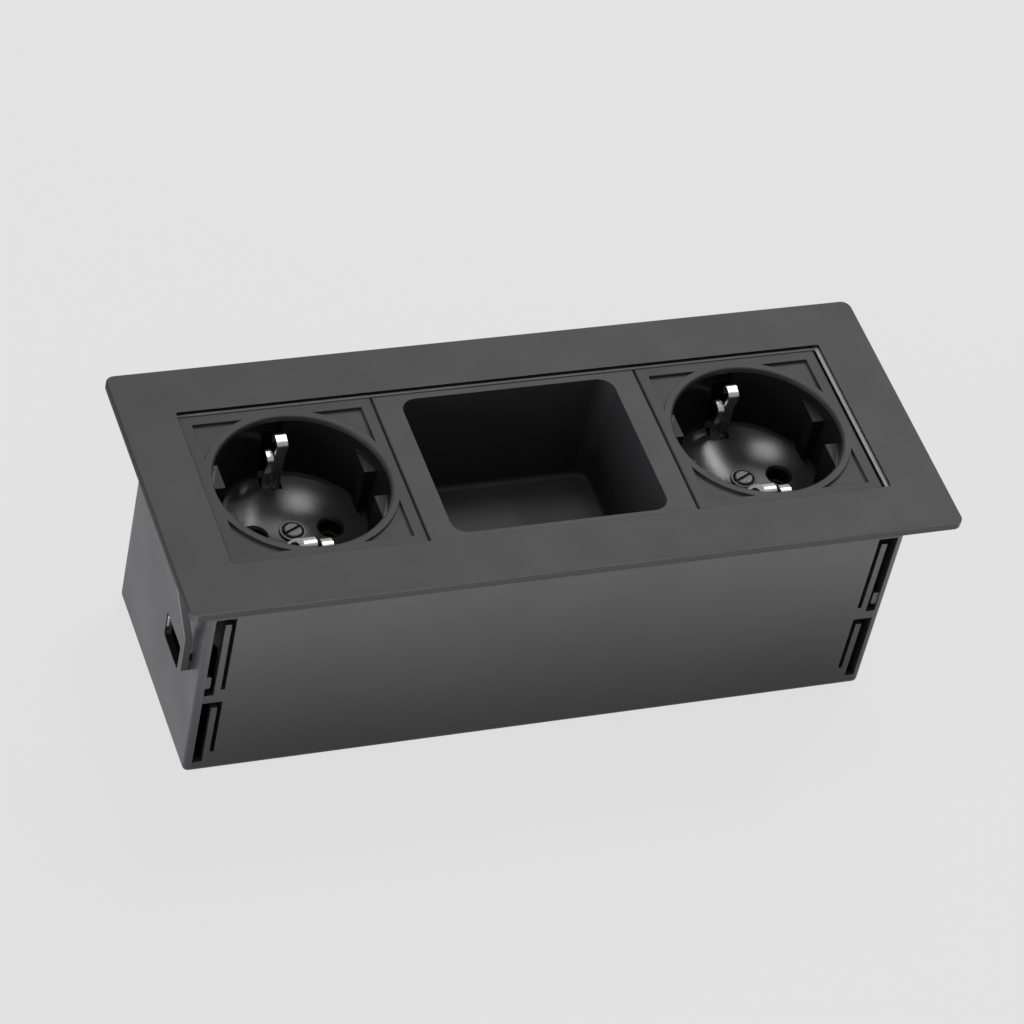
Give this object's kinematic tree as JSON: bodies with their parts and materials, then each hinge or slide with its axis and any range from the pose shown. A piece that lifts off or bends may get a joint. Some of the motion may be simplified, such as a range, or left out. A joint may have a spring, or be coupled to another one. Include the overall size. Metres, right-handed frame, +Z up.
{
  "type": "in_desk_power_module",
  "caption": "Flush in-desk power module with earthed round-pin sockets either side of a storage tray, in a matt black frame over a drop-in box.",
  "frame": {"origin": "middle of the desk cut-out, in the plane of the flange's underside", "axes": "+X along the frame's length, +Y to the frame's back edge, +Z up out of the desk"},
  "size_m": [0.195, 0.0794, 0.067],
  "materials": {
    "frame_black": "fine matt texture",
    "housing_black": "fine matt texture",
    "insert_black": "matt moulded",
    "insert_gloss": "satin to gloss moulded",
    "inlet_black": "matt moulded",
    "spring_steel": "bright plated",
    "contact_brass": "bare stamped",
    "screw_steel": "zinc plated",
    "screw_dark": "blackened",
    "wire_brown": "soft sleeve",
    "wire_blue": "soft sleeve",
    "wire_green": "soft sleeve"
  },
  "bodies": {
    "root": {"top_frame": "frame_black", "housing_trough": "housing_black", "tray_insert": "insert_black", "end_cap_left": "housing_black", "window_clip_left": "spring_steel", "socket_face_left": "insert_gloss", "socket_base_left": "insert_black", "earth_clip_left": "spring_steel", "earth_terminal_left": "contact_brass", "line_contact_left": "contact_brass", "neutral_contact_left": "contact_brass", "wire_line_left": "wire_brown", "wire_neutral_left": "wire_blue", "wire_earth_left": "wire_green", "end_cap_right": "housing_black", "window_clip_right": "spring_steel", "socket_face_right": "insert_gloss", "socket_base_right": "insert_black", "earth_clip_right": "spring_steel", "earth_terminal_right": "contact_brass", "line_contact_right": "contact_brass", "neutral_contact_right": "contact_brass", "wire_line_right": "wire_brown", "wire_neutral_right": "wire_blue", "wire_earth_right": "wire_green", "frame_screws": "screw_steel", "centre_screws": "screw_dark", "terminal_screws": "screw_steel", "inlet_housing": "inlet_black", "inlet_pin_line": "contact_brass", "inlet_pin_earth": "contact_brass", "inlet_pin_neutral": "contact_brass"}
  },
  "joints": []
}
